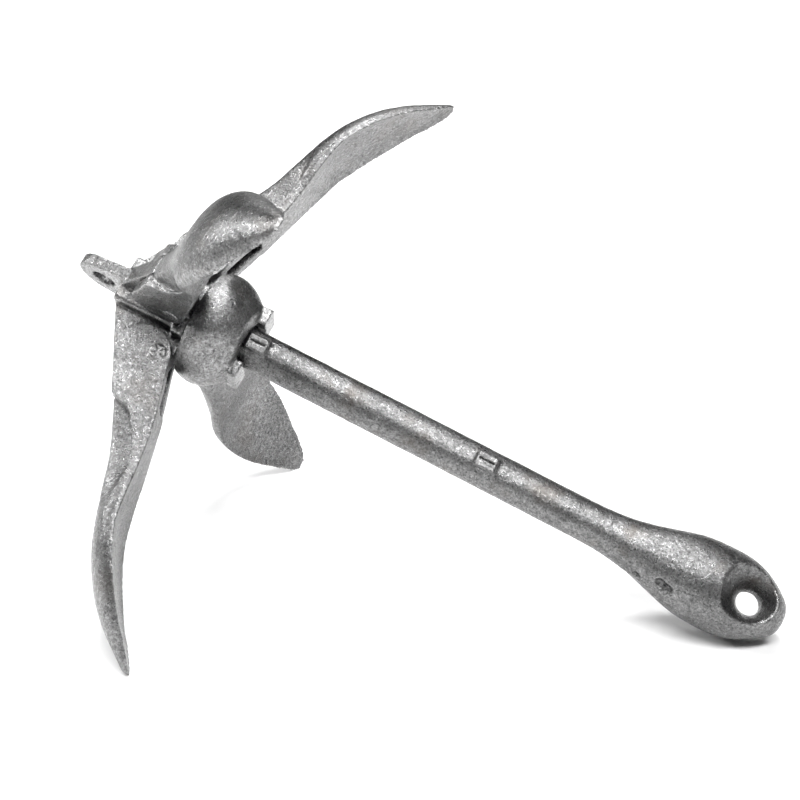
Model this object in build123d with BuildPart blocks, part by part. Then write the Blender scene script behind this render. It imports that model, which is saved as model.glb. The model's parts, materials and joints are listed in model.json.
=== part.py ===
from build123d import *
import math
import os

# A folding grapnel anchor, lying at rest on two fluke tips and its line eye.
# Every piece is drawn in the anchor's own frame, then laid down at the end:
#   Z runs up the shank from the crown to the line eye,
#   X and Y run along the four flukes, and z = 0 is near the hinge rivets.
# All lengths are in millimetres and all angles in degrees.

# ---- driving dimensions -------------------------------------------------
SHANK_R = 8.5            # round bar
EYE_TOP_Z = 271.5        # far end of the eye bulb
EYE_HOLE_Z = 256.0
EYE_HOLE_R = 5.0
EYE_LAND = 5.0           # straight wall of the eye hole, between its two flares
EYE_RIM_R = 14.2         # each flare's radius where it leaves the bulb
EYE_RIM_DEPTH = 14.0     # and how far that is from the middle of the bulb
BULB_R = 17.7            # widest radius of the eye bulb
BULB_Z = 243.0           # height of that widest place

TRIP_EYE_Z = -36.0       # trip-line eye in the crown's tongue
TRIP_EYE_R = 5.0
TONGUE_R = 11.6          # half the tongue's width, and its rounded end
TONGUE_THICK = 5.5

FLUKES = 4
HINGE_R = 22.0           # hinge rivet's distance from the shank axis
HINGE_Z = 2.0
RIVET_R = 3.5
RIVET_PLAY = 0.06        # radial, in the crown's ear
RIVET_PROUD = 0.3        # each peened end, out of the fluke's cheek
EAR_THICK = 8.0
EAR_PLAY = 0.3           # between an ear and each cheek of its fluke
ROOT_HALF = 10.0         # half the width of a fluke's forked root
LOOSE_OPEN = 3.5         # the loosest fluke hangs this much further open
TIP_R = 138.0            # fluke tip, out from the shank axis
TIP_Z = 55.3             # fluke tip, up from the hinge plane

HUB_HALF = 10.3          # square hub that fills the space between the roots
HUB_BOTTOM = -26.0
FLANGE_HALF = 12.4       # wider square flange above the hub
FLANGE_BOTTOM = 1.5
FLANGE_TOP = 7.5
HUB_TOP = 14.0           # a round boss carries on up to here
HUB_ROUND = 2.0          # rounded corners of the hub and the flange
EAR_END_R = 44.0
EAR_TOP = 7.0
EAR_BOTTOM = -27.8
TONGUE_ROOT_HALF = 15.0  # where the tongue widens into the hub
TONGUE_ROOT_Z = -22.0
TENON_R = 6.5
TENON_BOTTOM = -19.0
TENON_LEAD = 0.8         # chamfer that leads the tenon into the crown
CROSS_RIVET_R = 3.0
CROSS_RIVET_Z = -12.0
CROSS_RIVET_SUNK = 1.2   # its ends lie below the hub's corners

COLLAR_RIM_Z = 8.8       # the collar's mouth, resting over the fluke roots
COLLAR_R = 24.0
COLLAR_BORE_R = 9.3
COLLAR_TOP_Z = 30.2
COLLAR_NECK_Z = 34.0
CAVITY_R = 20.0          # room for the fluke roots inside the cup
CAVITY_TOP_Z = 17.0
NECK_OUT = 12.6          # the two neck blocks, out from the shank axis
NECK_THICK = 8.0
NECK_WIDE = 17.0
LUG_RISE = 2.0
LUG_WIDE = 6.4
LUG_LONG = 9.0
LUG_HEIGHTS = (35.2, 139.0)
KEYWAY_PLAY = 0.8


def fluke_plane(turn):
    """The upright plane of one fluke: x out from the shank, y up the shank."""
    return Plane.XZ.rotated((0, 0, turn * 360 / FLUKES))


# ---- shank: bar, eye bulb, lock lugs and tenon --------------------------
BULB_END = EYE_TOP_Z - BULB_Z

with BuildPart() as shank:
    with BuildSketch(Plane.XZ):
        with BuildLine():
            bar = Polyline(
                (0, TENON_BOTTOM),
                (TENON_R, TENON_BOTTOM),
                (TENON_R, HUB_TOP),
                (SHANK_R, HUB_TOP),
                (SHANK_R, 178),
            )
            Spline(
                bar @ 1,
                (9.1, 196),
                (11.3, 209.5),
                (15.4, 224),
                (BULB_R, BULB_Z),
                tangents=((0, 1), (0, 1)),
            )
            Spline(
                (BULB_R, BULB_Z),
                (BULB_R * math.cos(math.pi / 6), BULB_Z + BULB_END * math.sin(math.pi / 6)),
                (BULB_R * math.cos(math.pi / 3), BULB_Z + BULB_END * math.sin(math.pi / 3)),
                (0, EYE_TOP_Z),
                tangents=((0, 1), (-1, 0)),
            )
            Line((0, EYE_TOP_Z), (0, TENON_BOTTOM))
        make_face()
    revolve(axis=Axis.Z)
    chamfer(shank.faces().sort_by(Axis.Z)[0].edges(), TENON_LEAD)
    # Lock lugs in two pairs: the collar is turned under one or the other.
    lug_out = SHANK_R + LUG_RISE
    for height in LUG_HEIGHTS:
        with BuildSketch(Plane.XZ.offset(-lug_out)):
            with Locations((0, height)):
                Rectangle(LUG_WIDE, LUG_LONG)
        extrude(amount=2 * lug_out)
    # The eye: a short straight wall that flares into a dish on both faces.
    half_land = EYE_LAND / 2
    outside = BULB_R + 5
    for side in (1, -1):
        with BuildSketch(Plane.XY.offset(EYE_HOLE_Z)):
            with BuildLine():
                ThreePointArc(
                    (EYE_HOLE_R, side * half_land),
                    (EYE_HOLE_R + 2.2, side * (half_land + 4.6)),
                    (EYE_RIM_R, side * EYE_RIM_DEPTH),
                )
                Polyline(
                    (EYE_RIM_R, side * EYE_RIM_DEPTH),
                    (EYE_RIM_R, side * outside),
                    (0, side * outside),
                    (0, 0),
                    (EYE_HOLE_R, 0),
                    (EYE_HOLE_R, side * half_land),
                )
            make_face()
        revolve(axis=Axis((0, 0, EYE_HOLE_Z), (0, 1, 0)), mode=Mode.SUBTRACT)
    # The cross rivet's hole, on the diagonal between the ears.
    cross_axis = Plane(origin=(0, 0, CROSS_RIVET_Z), z_dir=(1, 1, 0))
    with BuildSketch(cross_axis):
        Circle(CROSS_RIVET_R)
    extrude(amount=2 * HUB_HALF, both=True, mode=Mode.SUBTRACT)

# ---- crown: square hub, four ears and the trip-eye tongue ---------------
with BuildPart() as crown:
    with BuildSketch(Plane.XY.offset(HUB_BOTTOM)):
        RectangleRounded(2 * HUB_HALF, 2 * HUB_HALF, HUB_ROUND)
    extrude(amount=FLANGE_BOTTOM - HUB_BOTTOM)
    with BuildSketch(Plane.XY.offset(FLANGE_BOTTOM)):
        RectangleRounded(2 * FLANGE_HALF, 2 * FLANGE_HALF, HUB_ROUND)
    extrude(amount=FLANGE_TOP - FLANGE_BOTTOM)
    with BuildSketch(Plane.XY.offset(FLANGE_TOP)):
        Circle(HUB_HALF)
    extrude(amount=HUB_TOP - FLANGE_TOP)
    for turn in range(FLUKES):
        with BuildSketch(fluke_plane(turn)):
            Polygon(
                (0, EAR_BOTTOM),
                (6, EAR_BOTTOM),
                (EAR_END_R, -7.6),
                (EAR_END_R, -4.5),
                (HINGE_R + 7, 3.0),
                (HINGE_R + 3, EAR_TOP),
                (0, EAR_TOP),
                align=None,
            )
        extrude(amount=EAR_THICK / 2, both=True)
    with BuildSketch(Plane.YZ):
        with Locations((0, TRIP_EYE_Z)):
            Circle(TONGUE_R)
        Polygon(
            (-TONGUE_R, TRIP_EYE_Z),
            (TONGUE_R, TRIP_EYE_Z),
            (TONGUE_ROOT_HALF, TONGUE_ROOT_Z),
            (-TONGUE_ROOT_HALF, TONGUE_ROOT_Z),
            align=None,
        )
        with Locations((0, TRIP_EYE_Z)):
            Circle(TRIP_EYE_R, mode=Mode.SUBTRACT)
    extrude(amount=TONGUE_THICK / 2, both=True)
    with BuildSketch(Plane.XY.offset(HUB_TOP)):
        Circle(TENON_R)
    extrude(amount=TENON_BOTTOM - HUB_TOP, mode=Mode.SUBTRACT)
    for turn in range(FLUKES):
        with BuildSketch(fluke_plane(turn)):
            with Locations((HINGE_R, HINGE_Z)):
                Circle(RIVET_R + RIVET_PLAY)
        extrude(amount=EAR_THICK, both=True, mode=Mode.SUBTRACT)
    with BuildSketch(cross_axis):
        Circle(CROSS_RIVET_R)
    extrude(amount=3 * HUB_HALF, both=True, mode=Mode.SUBTRACT)

with BuildPart() as crown_rivet:
    with BuildSketch(cross_axis):
        Circle(CROSS_RIVET_R)
    extrude(amount=HUB_HALF * math.sqrt(2) - CROSS_RIVET_SUNK, both=True)

# ---- collar: a deep cup that slides on the bar and locks the flukes -----
keyway_r = SHANK_R + LUG_RISE + KEYWAY_PLAY

with BuildPart() as collar:
    with BuildSketch(Plane.XZ):
        with BuildLine():
            Polyline(
                (COLLAR_BORE_R, COLLAR_TOP_Z),
                (COLLAR_BORE_R, CAVITY_TOP_Z + 4),
                (14.0, CAVITY_TOP_Z + 3),
                (CAVITY_R, CAVITY_TOP_Z - 3),
                (CAVITY_R + 0.6, COLLAR_RIM_Z),
                (COLLAR_R - 1.4, COLLAR_RIM_Z),
            )
            Spline(
                (COLLAR_R - 1.4, COLLAR_RIM_Z),
                (COLLAR_R, COLLAR_RIM_Z + 4.2),
                (COLLAR_R - 1.4, COLLAR_TOP_Z - 8.4),
                (COLLAR_R - 6.0, COLLAR_TOP_Z - 1.9),
                (COLLAR_BORE_R + 4.0, COLLAR_TOP_Z),
                tangents=((0.35, 1), (-1, 0.12)),
            )
            Line((COLLAR_BORE_R + 4.0, COLLAR_TOP_Z), (COLLAR_BORE_R, COLLAR_TOP_Z))
        make_face()
    revolve(axis=Axis.Z)
    # Two neck blocks stand on the top, one each side of the keyways.
    with BuildSketch(Plane.XY.offset(COLLAR_TOP_Z - 4)):
        with Locations((NECK_OUT, 0), (-NECK_OUT, 0)):
            RectangleRounded(NECK_THICK, NECK_WIDE, 1.5)
    extrude(amount=COLLAR_NECK_Z - COLLAR_TOP_Z + 4)
    with BuildSketch(Plane.XY.offset(CAVITY_TOP_Z)):
        Circle(COLLAR_BORE_R)
        Rectangle(LUG_WIDE + 2 * KEYWAY_PLAY, 2 * keyway_r)
    extrude(amount=COLLAR_NECK_Z, mode=Mode.SUBTRACT)

# ---- fluke: forked root, arm and spoon-shaped palm ----------------------
# Each section across the fluke is (out from the shank, height of its flat
# inner face, half-width, height of its flat edge, height of its back).
SECTIONS = (
    (36.0, 12.0, 10.0, 18.0, -10.6),
    (46.0, 15.0, 10.1, 15.0, -5.6),
    (56.0, 17.6, 10.9, 8.4, -0.4),
    (67.0, 19.9, 13.0, 4.2, 4.8),
    (80.0, 22.2, 16.9, 2.4, 9.5),
    (92.0, 25.1, 19.2, 1.8, 13.8),
    (104.0, 30.9, 18.8, 1.6, 19.0),
    (114.0, 37.3, 16.3, 1.5, 25.2),
    (123.0, 43.9, 12.2, 1.4, 32.6),
    (130.5, 50.4, 7.9, 1.3, 41.4),
    (135.4, 53.9, 4.7, 1.2, 48.6),
    (TIP_R - 0.5, TIP_Z - 0.1, 2.2, 1.0, TIP_Z - 2.8),
)
PALM_HOLLOW = 0.09       # depth of the palm's hollow, in half-widths
PAD_R = 11.6
PAD_CENTRE = (24.2, -3.9)
SLOT_INNER_R = 5.0       # the slot's cut runs well past the root on every side
SLOT_LOW_Z = -40.0
SLOT_HIGH_Z = 20.0

with BuildPart() as fluke:
    for out, inner, half, edge, back in SECTIONS:
        with BuildSketch(Plane.YZ.offset(out)):
            with BuildLine():
                Line((half, inner - edge), (half, inner))
                ThreePointArc((half, inner), (0, inner - PALM_HOLLOW * half), (-half, inner))
                Line((-half, inner), (-half, inner - edge))
                ThreePointArc((-half, inner - edge), (0, back), (half, inner - edge))
            make_face()
    loft()
    # The root: two flat cheeks with a rounded knuckle about the hinge.
    with BuildSketch(Plane.XZ):
        with Locations(PAD_CENTRE):
            Circle(PAD_R)
        Polygon(
            (21.4, 7.3),
            (SECTIONS[0][0], SECTIONS[0][1]),
            (SECTIONS[1][0], SECTIONS[1][1]),
            (SECTIONS[1][0], -4.0),
            (SECTIONS[0][0], -9.6),
            (28.4, -14.7),
            (PAD_CENTRE[0], PAD_CENTRE[1]),
            align=None,
        )
    extrude(amount=ROOT_HALF, both=True)
    # The slot for the crown's ear, which also stops the fluke when open.
    with BuildSketch(Plane.XZ):
        Polygon(
            (SLOT_INNER_R, SLOT_LOW_Z),
            (EAR_END_R + 2.5, SLOT_LOW_Z),
            (EAR_END_R + 1.0, -4.0),
            (EAR_END_R - 4.5, SLOT_HIGH_Z),
            (SLOT_INNER_R, SLOT_HIGH_Z),
            align=None,
        )
    extrude(amount=EAR_THICK / 2 + EAR_PLAY, both=True, mode=Mode.SUBTRACT)
    with BuildSketch(Plane.XZ):
        with Locations((HINGE_R, HINGE_Z)):
            Circle(RIVET_R)
    extrude(amount=2 * ROOT_HALF, both=True, mode=Mode.SUBTRACT)

with BuildPart() as rivet:
    with BuildSketch(Plane.XZ):
        with Locations((HINGE_R, HINGE_Z)):
            Circle(RIVET_R)
    extrude(amount=ROOT_HALF + RIVET_PROUD, both=True)
    chamfer(rivet.edges(), RIVET_PROUD)

# ---- laying the anchor down ---------------------------------------------
# The anchor rests on the tips of its two lower flukes and on the eye bulb,
# so its shank slopes down towards the eye. Each support's depth below the
# shank axis is compared, and the slope is halved in on until they agree.


def tip_depth(slope):
    return TIP_R / math.sqrt(2) * math.cos(slope) + TIP_Z * math.sin(slope)


def eye_depth(slope):
    reach = math.hypot(BULB_END * math.sin(slope), BULB_R * math.cos(slope))
    return BULB_Z * math.sin(slope) + reach


shallow = 0.0
steep = math.radians(45)
for halving in range(40):
    slope = (shallow + steep) / 2
    if tip_depth(slope) > eye_depth(slope):
        shallow = slope
    else:
        steep = slope

lean = math.sin(slope)
level = math.cos(slope)
lying = Plane(
    origin=(0, 0, 0),
    x_dir=(lean, 1, level),
    z_dir=(level, 0, -lean),
)

TURN_NAMES = ("upper_left", "upper_right", "lower_right", "lower_left")
pieces = {
    "shank": shank.part,
    "crown": crown.part,
    "crown_rivet": crown_rivet.part,
    "collar": collar.part,
}
hinge = Location((HINGE_R, 0, HINGE_Z))
for turn, place in enumerate(TURN_NAMES):
    about_shank = Rotation(0, 0, turn * 360 / FLUKES)
    loose = LOOSE_OPEN if place == "upper_right" else 0.0
    about_hinge = hinge * Rotation(0, loose, 0) * hinge.inverse()
    pieces["fluke_" + place] = about_shank * about_hinge * fluke.part
    pieces["rivet_" + place] = about_shank * rivet.part

laid = {name: lying.location * piece for name, piece in pieces.items()}
box = Compound(laid.values()).bounding_box()
to_origin = Location((-box.center().X, -box.center().Y, -box.min.Z))

os.makedirs("parts", exist_ok=True)
for name, piece in laid.items():
    placed = to_origin * piece
    placed.label = name
    export_step(placed, "parts/" + name + ".step")

print("slope of the shank", round(math.degrees(slope), 3))
print("origin moved by", to_origin.position.to_tuple())
print("overall", box.size)
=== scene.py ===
import json
import math
import bmesh
import bpy
import numpy as np
from mathutils import Matrix, Vector, noise


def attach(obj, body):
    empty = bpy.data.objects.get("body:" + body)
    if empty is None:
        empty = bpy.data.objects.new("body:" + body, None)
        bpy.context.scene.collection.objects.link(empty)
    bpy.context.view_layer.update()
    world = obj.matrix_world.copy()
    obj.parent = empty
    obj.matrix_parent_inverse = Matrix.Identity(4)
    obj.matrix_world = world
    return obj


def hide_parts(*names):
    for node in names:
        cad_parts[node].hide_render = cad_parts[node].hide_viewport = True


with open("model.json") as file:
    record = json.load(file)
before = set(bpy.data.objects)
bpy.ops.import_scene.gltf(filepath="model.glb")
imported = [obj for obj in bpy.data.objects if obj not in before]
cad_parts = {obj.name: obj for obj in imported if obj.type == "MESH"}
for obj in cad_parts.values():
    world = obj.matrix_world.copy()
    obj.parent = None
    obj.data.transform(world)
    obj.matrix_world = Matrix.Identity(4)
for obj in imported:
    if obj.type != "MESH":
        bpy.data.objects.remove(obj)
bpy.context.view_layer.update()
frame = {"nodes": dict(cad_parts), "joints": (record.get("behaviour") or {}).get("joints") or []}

# ---- the anchor's own frame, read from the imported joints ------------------
# Z runs up the shank to the line eye, X and Y along the flukes. Shapes are
# drawn in this frame in millimetres, and set down in the row frame in metres.
MM = 0.001
HINGE_R = 22.0                   # the fluke rivets, out from the shank's axis
HINGE_Z = 2.0                    # and up it
PLACES = ("upper_left", "upper_right", "lower_right", "lower_left")
LOOSE_PLACE = "upper_right"      # this fluke hangs a little further open
LOOSE_OPEN = math.radians(3.5)
joints = {joint["name"]: joint for joint in frame["joints"]}
hinges = [Vector(joints["fold_" + place]["pos_m"]) for place in PLACES]
hub = sum(hinges, Vector()) / len(hinges)
along = Vector(joints["collar_slide"]["axis"]).normalized()
out_x = (hinges[0] - hub).normalized()
out_y = (hinges[1] - hub).normalized()
turned = Matrix((out_x, out_y, along)).transposed().to_4x4()
ANCHOR = Matrix.Translation(hub - along * HINGE_Z * MM) @ turned @ Matrix.Scale(MM, 4)
TO_ANCHOR = ANCHOR.inverted()


# ---- mesh helpers -----------------------------------------------------------
def mesh_object(name, points, faces):
    """An object from points in the anchor frame, in millimetres."""
    mesh = bpy.data.meshes.new(name)
    mesh.from_pydata([tuple(p) for p in points], [], faces)
    mesh.update()
    made = bpy.data.objects.new(name, mesh)
    bpy.context.scene.collection.objects.link(made)
    return made


def tube(rings):
    """Points and faces of a closed tube through rings of equal length."""
    count = len(rings[0])
    points = [p for ring in rings for p in ring]
    faces = []
    for level in range(len(rings) - 1):
        for step in range(count):
            a = level * count + step
            b = level * count + (step + 1) % count
            faces.append((a, b, b + count, a + count))
    faces.append(tuple(range(count))[::-1])
    last = (len(rings) - 1) * count
    faces.append(tuple(range(last, last + count)))
    return points, faces


def slab(outline, low, high):
    """A flat plate: an outline of (out, up) points, between two widths."""
    rings = [[(out, wide, up) for out, up in outline] for wide in (low, high)]
    return tube(rings)


def joined(parts):
    """Several (points, faces) put together as one list of each."""
    points = []
    faces = []
    for part_points, part_faces in parts:
        start = len(points)
        points.extend(part_points)
        faces.extend(tuple(i + start for i in face) for face in part_faces)
    return points, faces


def arc(centre, radius, start, end, steps):
    """Points on an arc, angles in degrees."""
    angles = np.radians(np.linspace(start, end, steps))
    return [(centre[0] + radius * math.cos(a), centre[1] + radius * math.sin(a)) for a in angles]


def fuse(made, voxel, rounds):
    """Fuses an object's shells into one skin and softens it, as casting does."""
    remesh = made.modifiers.new("fuse", "REMESH")
    remesh.mode = "VOXEL"
    remesh.voxel_size = voxel
    soften = made.modifiers.new("soften", "SMOOTH")
    soften.factor = 0.5
    soften.iterations = rounds
    depsgraph = bpy.context.evaluated_depsgraph_get()
    fused = bpy.data.meshes.new_from_object(made.evaluated_get(depsgraph))
    made.modifiers.clear()
    made.data = fused
    return made


def coordinates(mesh):
    flat = np.empty(len(mesh.vertices) * 3, np.float32)
    mesh.vertices.foreach_get("co", flat)
    return flat.reshape(-1, 3).astype(float)


def vertex_normals(mesh):
    flat = np.empty(len(mesh.vertices) * 3, np.float32)
    mesh.vertex_normals.foreach_get("vector", flat)
    return flat.reshape(-1, 3).astype(float)


def set_coordinates(mesh, places):
    mesh.vertices.foreach_set("co", places.astype(np.float32).ravel())
    mesh.update()


GRAIN = 0.07             # height of the small grain
PIT_DEPTH = 0.9
PIT_LEVEL = 0.52         # noise above this makes a pit
PIT_SHIFT = Vector((40, 0, 0))
KEEP_IN = 0.10           # the skin is drawn in, so its lumps stay in the CAD's box


def cast_skin(made, seed, swell=0.20):
    """Uneven zinc over a casting: soft lumps, small grain and a few pits."""
    mesh = made.data
    places = coordinates(mesh)
    normals = vertex_normals(mesh)
    shift = Vector((seed * 17.3, seed * 5.9, seed * 11.7))
    heights = np.empty(len(places))
    for i, p in enumerate(places):
        spot = Vector(p) + shift
        lump = noise.noise(spot * 0.11) * 0.65 + noise.noise(spot * 0.29) * 0.35
        fine = noise.noise(spot * 0.9) * 0.7 + noise.noise(spot * 1.7) * 0.3
        pit = max(0.0, noise.noise(spot * 0.45 + PIT_SHIFT) - PIT_LEVEL)
        heights[i] = swell * lump + GRAIN * fine - PIT_DEPTH * pit - KEEP_IN
    set_coordinates(mesh, places + normals * heights[:, None])


def set_down(made, slot, body, *nodes):
    """Shades a finished piece, moves it to the row frame and registers it."""
    made.data.transform(ANCHOR)
    whole = bmesh.new()
    whole.from_mesh(made.data)
    bmesh.ops.recalc_face_normals(whole, faces=whole.faces)
    whole.to_mesh(made.data)
    whole.free()
    for face in made.data.polygons:
        face.use_smooth = True
    made.data.materials.clear()
    made.data.materials.append(MATERIALS[slot])
    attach(made, body)
    for node_name in nodes:
        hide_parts(node_name)


def cad_copy(name, node):
    """A copy of a CAD node's mesh, in the anchor frame and millimetres."""
    mesh = frame["nodes"][node].data.copy()
    mesh.transform(TO_ANCHOR)
    mesh.materials.clear()
    made = bpy.data.objects.new(name, mesh)
    bpy.context.scene.collection.objects.link(made)
    return made


# ---- materials --------------------------------------------------------------
def noise_node(tree, coords, scale, detail, rough=0.55):
    """Noise by object place; the scale is in cells per metre."""
    made = tree.nodes.new("ShaderNodeTexNoise")
    made.inputs["Scale"].default_value = scale
    made.inputs["Detail"].default_value = detail
    made.inputs["Roughness"].default_value = rough
    tree.links.new(coords, made.inputs["Vector"])
    return made.outputs["Fac"]


def ramp(tree, value, stops):
    """A ramp of greys through (place, shade) stops."""
    made = tree.nodes.new("ShaderNodeValToRGB")
    band = made.color_ramp
    while len(band.elements) < len(stops):
        band.elements.new(0.5)
    for element, (place, shade) in zip(band.elements, stops):
        element.position = place
        element.color = (shade, shade, shade, 1.0)
    tree.links.new(value, made.inputs["Fac"])
    return made.outputs["Color"]


def mix(tree, kind, factor, first, second):
    """Mixes two colours, each a socket or a plain value."""
    made = tree.nodes.new("ShaderNodeMix")
    made.data_type = "RGBA"
    made.blend_type = kind
    sockets = (made.inputs[0], made.inputs[6], made.inputs[7])
    for value, socket in zip((factor, first, second), sockets):
        if isinstance(value, bpy.types.NodeSocket):
            tree.links.new(value, socket)
        elif isinstance(value, tuple):
            socket.default_value = (*value, 1.0)
        else:
            socket.default_value = value
    return made.outputs[2]


def bump(tree, height, strength, distance, under=None):
    """A bump layer, on top of another layer's normal if there is one."""
    made = tree.nodes.new("ShaderNodeBump")
    made.inputs["Strength"].default_value = strength
    made.inputs["Distance"].default_value = distance
    tree.links.new(height, made.inputs["Height"])
    if under is not None:
        tree.links.new(under, made.inputs["Normal"])
    return made.outputs["Normal"]


def zinc(name, light, stain):
    """Hot-dip zinc on cast iron: mottled greys, bright grain, crevices darkened by oxide and by
    painted shade.

    light is the base tone, and stain is how strongly the brown patches show.
    """
    material = bpy.data.materials.new(name)
    material.use_nodes = True
    tree = material.node_tree
    shader = tree.nodes["Principled BSDF"]
    place = tree.nodes.new("ShaderNodeTexCoord").outputs["Object"]
    patches = noise_node(tree, place, 45.0, 4.0)
    mottle = noise_node(tree, place, 620.0, 4.0, 0.62)
    grain = noise_node(tree, place, 1300.0, 3.0, 0.7)
    speck = noise_node(tree, place, 2600.0, 2.0, 0.6)
    cloud = ramp(tree, patches, ((0.32, light * 0.75), (0.52, light), (0.70, light * 1.20)))
    mottled = ramp(tree, mottle, ((0.32, 0.60), (0.50, 1.0), (0.70, 1.30)))
    tone = mix(tree, "MULTIPLY", 1.0, cloud, mottled)
    speckle = ramp(tree, grain, ((0.36, 0.35), (0.46, 0.95), (0.64, 1.40)))
    tone = mix(tree, "MULTIPLY", 0.9, tone, speckle)
    # Worn edges are brighter. Crevices are darker, partly from dark oxide and partly from painted
    # shade where the crevices would be in shadow.
    shape = tree.nodes.new("ShaderNodeNewGeometry").outputs["Pointiness"]
    edge_wear_and_crevice_shade = ramp(tree, shape, ((0.40, 0.10), (0.475, 0.80), (0.505, 1.0), (0.56, 1.35)))
    tone = mix(tree, "MULTIPLY", 1.0, tone, edge_wear_and_crevice_shade)
    # A faint brown stain comes through the zinc in places.
    warm_place = noise_node(tree, place, 48.0, 5.0, 0.62)
    warm_mask = ramp(tree, warm_place, ((0.54, 0.0), (0.66, 1.0)))
    warm_amount = mix(tree, "MULTIPLY", 1.0, warm_mask, (stain, stain, stain))
    tone = mix(tree, "MIX", warm_amount, tone, (light * 0.60, light * 0.53, light * 0.47))
    tree.links.new(tone, shader.inputs["Base Color"])
    # Dull oxide between the bright grains is not metal at all.
    metal = ramp(tree, grain, ((0.36, 0.80), (0.50, 1.0)))
    tree.links.new(metal, shader.inputs["Metallic"])
    rough = ramp(tree, mottle, ((0.30, 0.42), (0.50, 0.30), (0.72, 0.20)))
    tree.links.new(rough, shader.inputs["Roughness"])
    normal = bump(tree, grain, 0.60, 0.00032)
    normal = bump(tree, speck, 0.35, 0.00012, normal)
    normal = bump(tree, mottle, 0.42, 0.00050, normal)
    tree.links.new(normal, shader.inputs["Normal"])
    return material


# Base tone and stain of each slot.
ZINCS = {
    "shank_zinc": (0.165, 0.60),
    "crown_zinc": (0.19, 0.40),
    "collar_zinc": (0.235, 0.35),
    "fluke_zinc": (0.18, 0.30),
    "rivet_zinc": (0.19, 0.30),
}
MATERIALS = {name: zinc(name, light, stain) for name, (light, stain) in ZINCS.items()}

# ---- flukes -------------------------------------------------------------------
# Across the fluke, at each distance out from the shank: height of the inner
# face, half-width, depth of the flat edge below it, and height of the back.
STATIONS = (
    (36.0, 12.0, 10.0, 18.0, -10.2),
    (46.0, 15.0, 10.1, 15.0, -5.4),
    (56.0, 17.6, 10.9, 8.4, -0.4),
    (67.0, 19.9, 13.0, 4.0, 4.8),
    (80.0, 22.2, 16.9, 2.2, 9.5),
    (92.0, 25.1, 19.2, 1.5, 13.8),
    (104.0, 30.9, 18.8, 1.3, 19.0),
    (114.0, 37.3, 16.3, 1.2, 25.2),
    (123.0, 43.9, 12.2, 1.2, 32.6),
    (130.5, 50.5, 8.0, 1.2, 41.4),
    (135.4, 54.1, 5.0, 1.2, 48.4),
    (138.2, 55.9, 2.6, 1.1, 52.4),
)
SECTIONS = 90            # sections made along these stations
RING_HALF = 40           # points from the middle of a section to its edge
EDGE_POINTS = 8

SPOON_START = 54.0       # the arm turns into the palm from here
SPOON_LONG = 36.0        # over this length
PALM_HOLLOW = 0.10       # depth of the palm's hollow, in half-widths

# The arm's ridge and valley: places and widths across it are in half-widths.
RIDGE_HALF = 0.50        # half-width of the ridge's rounded top
RIDGE_CROWN = 0.12       # how far that top falls, in depths of the ridge
RIDGE_FLANK = 0.34       # width of the flank beside it
VALLEY = 4.2             # how far the groove beside the ridge is sunk
VALLEY_OUT = 58.0        # where it is deepest
VALLEY_LONG = 13.0       # how far it runs either way
VALLEY_ACROSS = 0.80
VALLEY_WIDE = 0.13

# The fork: two cheeks with a slot between them for the crown's ear.
ARM_START = 45.0         # the slot's end
SLOT_LEAN = 0.23         # how it leans out towards the back
SLOT_FOOT_Z = -4.0
SLOT_HALF = 4.3
CHEEK_HALF = 10.0
INNER_SLOPE = 0.22       # rise of the inner face near the root
PAD_CENTRE = (24.2, -3.9)
PAD_R = 11.6


def smooth_table(rows, count):
    """Rows resampled evenly along their length, by smooth interpolation."""
    table = np.array(rows)
    steps = np.r_[0, np.cumsum(np.hypot(np.diff(table[:, 0]), np.diff(table[:, 1])))]
    slopes = np.gradient(table, steps, axis=0)
    spots = np.linspace(0, steps[-1], count)
    at = np.clip(np.searchsorted(steps, spots) - 1, 0, len(steps) - 2)
    width = (steps[at + 1] - steps[at])[:, None]
    t = ((spots - steps[at])[:, None]) / width
    return (
        (2 * t**3 - 3 * t**2 + 1) * table[at]
        + (t**3 - 2 * t**2 + t) * width * slopes[at]
        + (3 * t**2 - 2 * t**3) * table[at + 1]
        + (t**3 - t**2) * width * slopes[at + 1]
    )


def back_rise(across, spoon):
    """How far the back has risen to the edge: 0 in the middle, 1 at the edge."""
    ease = np.clip((across - RIDGE_HALF) / RIDGE_FLANK, 0, 1)
    top = RIDGE_CROWN * (across / RIDGE_HALF) ** 2
    flank = RIDGE_CROWN + (1 - RIDGE_CROWN) * ease**2 * (3 - 2 * ease)
    ridge = top * (across < RIDGE_HALF) + flank * (across >= RIDGE_HALF)
    bowl = 1 - np.sqrt(np.clip(1 - across**2.3, 0, 1))
    return (1 - spoon) * ridge + spoon * bowl


def fluke_section(out, inner, half, edge, back):
    """One closed section: hollow inner face, flat edge, then the back.

    The arm's back is a ridge with a valley beside it, and the palm's is a spoon.
    """
    spoon = float(np.clip((out - SPOON_START) / SPOON_LONG, 0, 1))
    across = np.linspace(0, 1, RING_HALF)
    hollow = PALM_HOLLOW * half * spoon
    face = inner - hollow * (1 - across**4)
    right = [(half * y, z) for y, z in zip(across, face)]
    right += [(half, inner - edge * k / EDGE_POINTS) for k in range(1, EDGE_POINTS)]

    low = inner - edge
    across = np.linspace(1, 0, RING_HALF)
    sunk = VALLEY * math.exp(-(((out - VALLEY_OUT) / VALLEY_LONG) ** 2))
    valley = sunk * np.exp(-(((across - VALLEY_ACROSS) / VALLEY_WIDE) ** 2))
    rise = back_rise(across, spoon)
    right += [(half * y, back + (low - back) * r + v) for y, r, v in zip(across, rise, valley)]
    left = [(-y, z) for y, z in right[-2:0:-1]]

    # The first section leans like the end of the slot that clears the ear.
    lean = SLOT_LEAN * float(np.clip((SPOON_START - out) / (SPOON_START - ARM_START), 0, 1))
    shape = []
    for y, z in right + left:
        shift = lean * (z - SLOT_FOOT_Z)
        shape.append((out - shift, y, z - INNER_SLOPE * shift))
    return shape


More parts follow.
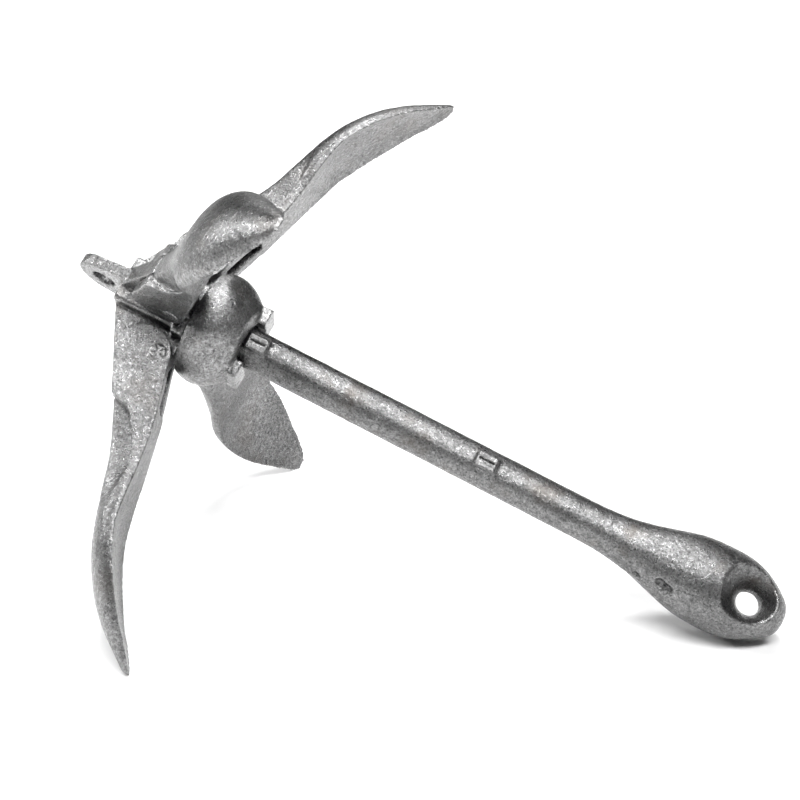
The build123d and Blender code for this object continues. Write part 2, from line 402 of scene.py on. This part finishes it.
def fluke_parts():
    """The arm with its palm, and the two cheeks of the fork."""
    rows = smooth_table(STATIONS, SECTIONS)
    rows = rows[rows[:, 0] > ARM_START]
    arm = tube([fluke_section(*row) for row in rows])
    pad = arc(PAD_CENTRE, PAD_R, 103, 287, 40)
    back = [(36.0, -10.4), (43.0, -7.4), (46.5, -3.0)]
    inner = [(49.0, 5.0), (50.0, 15.8), (46.0, 14.8), (36.0, 12.0)]
    cheeks = [slab(pad + back + inner, side * SLOT_HALF, side * CHEEK_HALF) for side in (1, -1)]
    return [arm] + cheeks


def fluke_shape(name):
    made = mesh_object(name, *joined(fluke_parts()))
    return fuse(made, voxel=0.55, rounds=5)


HINGE = Matrix.Translation((HINGE_R, 0, HINGE_Z))
HANG = HINGE @ Matrix.Rotation(LOOSE_OPEN, 4, "Y") @ HINGE.inverted()

for turn, place in enumerate(PLACES):
    piece = fluke_shape("fluke_body_" + place)
    cast_skin(piece, turn + 1)
    if place == LOOSE_PLACE:
        piece.data.transform(HANG)
    piece.data.transform(Matrix.Rotation(turn * math.pi / 2, 4, "Z"))
    set_down(piece, "fluke_zinc", "fluke_" + place, "fluke_" + place)

# ---- fluke rivets: peened ends, marked by the punch ------------------------------
RIVET_R = 3.5
RIVET_LONG = 20.4
RIVET_STEPS = 48
MARK_ARMS = 5
MARK_DEPTH = 0.35


def rivet_shape(name, length):
    """A rivet along Y with a flat, star-marked end each way."""
    head = ((1, 0.05), (1, 0.35), (1, 0.7), (0.985, 1.0))
    tail = tuple((-side, share) for side, share in head)
    rings = []
    for side, share in tail + head[::-1]:
        ring = []
        for step in range(RIVET_STEPS):
            angle = step * math.tau / RIVET_STEPS
            arm = max(0.0, math.cos(angle * MARK_ARMS)) ** 4
            wide = side * (length / 2 - MARK_DEPTH * arm * (0.3 < share < 0.9))
            ring.append((RIVET_R * share * math.cos(angle), wide, RIVET_R * share * math.sin(angle)))
        rings.append(ring)
    return mesh_object(name, *tube(rings))


for turn, place in enumerate(PLACES):
    piece = rivet_shape("rivet_end_" + place, RIVET_LONG)
    piece.data.transform(HINGE)
    piece.data.transform(Matrix.Rotation(turn * math.pi / 2, 4, "Z"))
    set_down(piece, "rivet_zinc", "fluke_" + place, "rivet_" + place)

# ---- shank ---------------------------------------------------------------------
# Dents: place in the anchor frame, radius and depth.
DENTS = (
    ((-11.6, 2.9, 211.9), 2.0, 2.5),
    ((-12.1, 8.7, 221.2), 2.8, 2.3),
    ((-12.6, 8.4, 224.4), 2.8, 2.5),
    ((-12.3, 11.9, 234.4), 1.3, 0.4),
    ((3.0, 16.0, 226.0), 1.0, 0.4),
    ((-6.5, 6.5, 181.0), 0.9, 0.4),
)
LUG_PLACES = (("low", 35.2), ("high", 139.0))
LUG_BASE = 9.4           # the bar's own lugs are cut down to this height


def shank_shape(name):
    """The CAD bar with its dents, and its lugs cut low for the grooved tiles."""
    made = fuse(cad_copy(name, "shank"), voxel=0.72, rounds=3)
    places = coordinates(made.data)
    for centre, radius, depth in DENTS:
        away = np.linalg.norm(places - np.array(centre), axis=1)
        sink = depth * np.clip(1 - (away / radius) ** 2, 0, 1) ** 0.7
        outward = places[:, :2] / np.linalg.norm(places[:, :2] + 1e-9, axis=1)[:, None]
        places[:, :2] -= outward * sink[:, None]
    for _, height in LUG_PLACES:
        over = (np.abs(places[:, 0]) < 4.5) & (np.abs(places[:, 2] - height) < 6)
        places[over, 1] = np.clip(places[over, 1], -LUG_BASE, LUG_BASE)
    set_coordinates(made.data, places)
    return made


piece = shank_shape("shank_casting")
cast_skin(piece, 6, 0.16)
set_down(piece, "shank_zinc", "shank", "shank")

# ---- lock lugs: tiles forged on the bar, each with a chisel groove ----------------
LUG_TOP = 10.66
LUG_FOOT = 7.5           # inside the bar
LUG_HALF = 3.25
LUG_LONG_HALF = 4.55
LUG_ROUND = 0.6          # how far the edges fall away
GROOVE_DEPTH = 0.90
GROOVE_WIDE = 0.36
GROOVE_OFF = 0.35        # beside the lug's middle
GROOVE_LONG = 0.72       # share of the lug's length


def rounding(share, start):
    """0 on the flat of a face, rising from start to 1 at its edge."""
    return max(0.0, (abs(share) - start) / (1 - start))


def lug_shape(name, height, side):
    """One tile: rounded corners all round and a groove along the bar."""
    rings = []
    for along_share in np.linspace(-1, 1, 34):
        end = rounding(along_share, 0.80)
        half = LUG_HALF - LUG_ROUND * end**3
        up = height + along_share * LUG_LONG_HALF
        ring = []
        for across in np.linspace(-1, 1, 49):
            fall = 0.55 * end**2 + LUG_ROUND * rounding(across, 0.78) ** 2
            groove = GROOVE_DEPTH * math.exp(-(((across * half - GROOVE_OFF) / GROOVE_WIDE) ** 2))
            top = LUG_TOP - fall - groove * (abs(along_share) < GROOVE_LONG)
            ring.append((across * half, side * top, up))
        ring += [(half, side * LUG_FOOT, up), (-half, side * LUG_FOOT, up)]
        rings.append(ring)
    return mesh_object(name, *tube(rings))


for label, height in LUG_PLACES:
    for side, letter in ((1, "front"), (-1, "back")):
        piece = lug_shape("lock_lug_" + label + "_" + letter, height, side)
        set_down(piece, "shank_zinc", "shank")

# ---- crown, collar and cross rivet --------------------------------------------------
COLLAR_CREASE = 1.6      # depth of the creases between the collar's bulges
CREASE_R = 15.0          # they start outside this radius
CREASE_LOW = 13.0        # and run between these heights
CREASE_HIGH = 31.5

piece = fuse(cad_copy("crown_casting", "crown"), voxel=0.57, rounds=5)
cast_skin(piece, 7)
set_down(piece, "crown_zinc", "shank", "crown")


def collar_shape(name):
    """The CAD collar, bulging over each fluke with a soft crease between."""
    made = fuse(cad_copy(name, "collar"), voxel=0.5, rounds=7)
    places = coordinates(made.data)
    around = np.arctan2(places[:, 1], places[:, 0])
    outside = np.clip((np.hypot(places[:, 0], places[:, 1]) - CREASE_R) / 5, 0, 1)
    above = np.clip((places[:, 2] - CREASE_LOW) / 6, 0, 1)
    below = np.clip((CREASE_HIGH - places[:, 2]) / 3, 0, 1)
    crease = -COLLAR_CREASE * np.sin(2 * around) ** 6 * outside * above * below
    places[:, 0] += crease * np.cos(around)
    places[:, 1] += crease * np.sin(around)
    places[:, 2] += crease * 0.5
    set_coordinates(made.data, places)
    return made


piece = collar_shape("collar_casting")
cast_skin(piece, 8)
set_down(piece, "collar_zinc", "collar", "collar")

piece = cad_copy("crown_rivet_body", "crown_rivet")
set_down(piece, "rivet_zinc", "shank", "crown_rivet")

# ---- floor and room -------------------------------------------------------------------
FLOOR_HALF = 6.0
FLOOR_Z = -0.0002
PAPER_PAINTED_LIGHT_MIDDLE = (0.1, 1.3, 0.0)   # the paper is painted whitest round here, a painted pool of light
PAPER_REACH = 4.0                # the ramp's places are shares of this distance
# Painted shade: the paper's colour falls from white to grey away from the middle, as if the light
# fell off.
PAPER_PAINTED_FALLOFF = ((0.375, 0.93), (0.46, 0.66))
HORIZON = ((0.0, 0.80), (0.06, 0.40), (0.16, 0.05))
OVERHEAD = ((0.5, 0.04), (0.8, 0.18), (1.0, 0.5))


def paper_with_painted_falloff():
    """White under the anchor and behind it, painted greyer well in front of it as painted shade where
    the light falls off.
    """
    material = bpy.data.materials.new("paper")
    material.use_nodes = True
    tree = material.node_tree
    shader = tree.nodes["Principled BSDF"]
    away = tree.nodes.new("ShaderNodeVectorMath")
    away.operation = "DISTANCE"
    away.inputs[1].default_value = PAPER_PAINTED_LIGHT_MIDDLE
    tree.links.new(tree.nodes.new("ShaderNodeNewGeometry").outputs["Position"], away.inputs[0])
    share = tree.nodes.new("ShaderNodeMath")
    share.operation = "DIVIDE"
    share.inputs[1].default_value = PAPER_REACH
    tree.links.new(away.outputs["Value"], share.inputs[0])
    tree.links.new(ramp(tree, share.outputs["Value"], PAPER_PAINTED_FALLOFF), shader.inputs["Base Color"])
    shader.inputs["Roughness"].default_value = 0.8
    return material


def studio_world():
    """Light at the horizon, then dim, which gives the bar its dark band."""
    world = bpy.data.worlds.new("studio")
    world.use_nodes = True
    tree = world.node_tree
    height = tree.nodes.new("ShaderNodeSeparateXYZ")
    tree.links.new(tree.nodes.new("ShaderNodeTexCoord").outputs["Generated"], height.inputs[0])
    room = ramp(tree, height.outputs["Z"], HORIZON + OVERHEAD)
    tree.links.new(room, tree.nodes["Background"].inputs["Color"])
    tree.nodes["Background"].inputs["Strength"].default_value = 0.6
    return world


corners = [(x * FLOOR_HALF, y * FLOOR_HALF, FLOOR_Z) for x, y in ((-1, -1), (1, -1), (1, 1), (-1, 1))]
floor = mesh_object("floor", corners, [(0, 1, 2, 3)])
floor.data.materials.append(paper_with_painted_falloff())
bpy.context.scene.world = studio_world()


# ---- lamps and camera -------------------------------------------------------------------
def softbox(name, place, target, size, power):
    lamp = bpy.data.lights.new(name, "AREA")
    lamp.shape = "RECTANGLE"
    lamp.size, lamp.size_y = size
    lamp.energy = power
    made = bpy.data.objects.new(name, lamp)
    made.location = place
    made.rotation_euler = (Vector(target) - Vector(place)).to_track_quat("-Z", "Y").to_euler()
    bpy.context.scene.collection.objects.link(made)


# Place and target in metres, size in metres and power in watts.
softbox("main", (0.35, -0.62, 1.10), (0, 0, 0.1), (1.1, 0.26), 20)
softbox("back", (-0.2, 0.9, 1.0), (0, 0, 0.1), (0.9, 0.3), 4)
softbox("behind", (-0.4, 1.2, 0.95), (-0.4, 1.9, 0), (2.6, 0.9), 24)
softbox("left", (-1.0, -0.16, 0.66), (0, 0, 0.15), (0.40, 0.30), 10.5)
softbox("overhead", (-0.02, 0.16, 1.25), (-0.05, 0, 0.1), (0.40, 0.32), 11.5)

CAMERA_AT = Vector((0.15782, -0.56665, 0.33913))
CAMERA_AIM = Vector((-0.00876, -0.00444, 0.08788))
CAMERA_ROLL = math.radians(0.30)
lens = bpy.data.cameras.new("camera")
lens.lens = 72
lens.sensor_width = 36
camera = bpy.data.objects.new("camera", lens)
camera.location = CAMERA_AT
facing = (CAMERA_AIM - CAMERA_AT).to_track_quat("-Z", "Y").to_matrix()
camera.rotation_euler = (facing @ Matrix.Rotation(CAMERA_ROLL, 3, "Z")).to_euler()
bpy.context.scene.collection.objects.link(camera)
bpy.context.scene.camera = camera
bpy.context.scene.view_settings.view_transform = "Standard"
